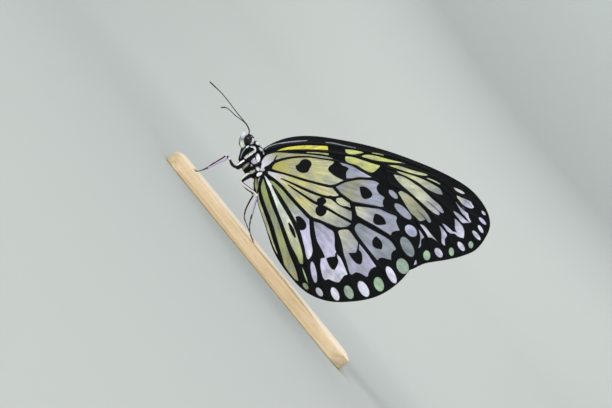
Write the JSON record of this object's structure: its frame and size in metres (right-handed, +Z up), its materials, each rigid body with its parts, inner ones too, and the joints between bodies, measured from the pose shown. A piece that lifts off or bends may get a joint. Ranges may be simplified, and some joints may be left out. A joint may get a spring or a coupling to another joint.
{
  "type": "paper kite butterfly model",
  "caption": "Life-size still model of a paper kite butterfly at rest with closed wings, standing on a plain flat base.",
  "frame": {"origin": "centre of the underside of the base", "axes": "+Z up, -X towards the head, +X towards the wing tips, -Y the butterfly's left side"},
  "size_m": [0.0907, 0.036, 0.0645],
  "materials": {
    "body_scales": "short black and white scales and hair",
    "palp_scales": "short white scales with a black front edge",
    "eye": "glossy black",
    "limb_cuticle": "satin cuticle, black, pale lilac and red brown",
    "antenna_cuticle": "satin black",
    "wing_membrane": "scaled wing, pale yellow and grey white with black veins and spots",
    "stand_wood": "satin light wood"
  },
  "bodies": {
    "root": {"head": "body_scales", "thorax": "body_scales", "abdomen": "body_scales", "eye_left": "eye", "eye_right": "eye", "palp_left": "palp_scales", "palp_right": "palp_scales", "proboscis": "limb_cuticle", "antenna_left": "antenna_cuticle", "antenna_right": "antenna_cuticle", "foreleg_left": "limb_cuticle", "foreleg_right": "limb_cuticle", "midleg_left": "limb_cuticle", "midleg_right": "limb_cuticle", "hindleg_left": "limb_cuticle", "hindleg_right": "limb_cuticle", "forewing_left": "wing_membrane", "forewing_right": "wing_membrane", "hindwing_left": "wing_membrane", "hindwing_right": "wing_membrane", "stand_base": "stand_wood"}
  },
  "joints": []
}
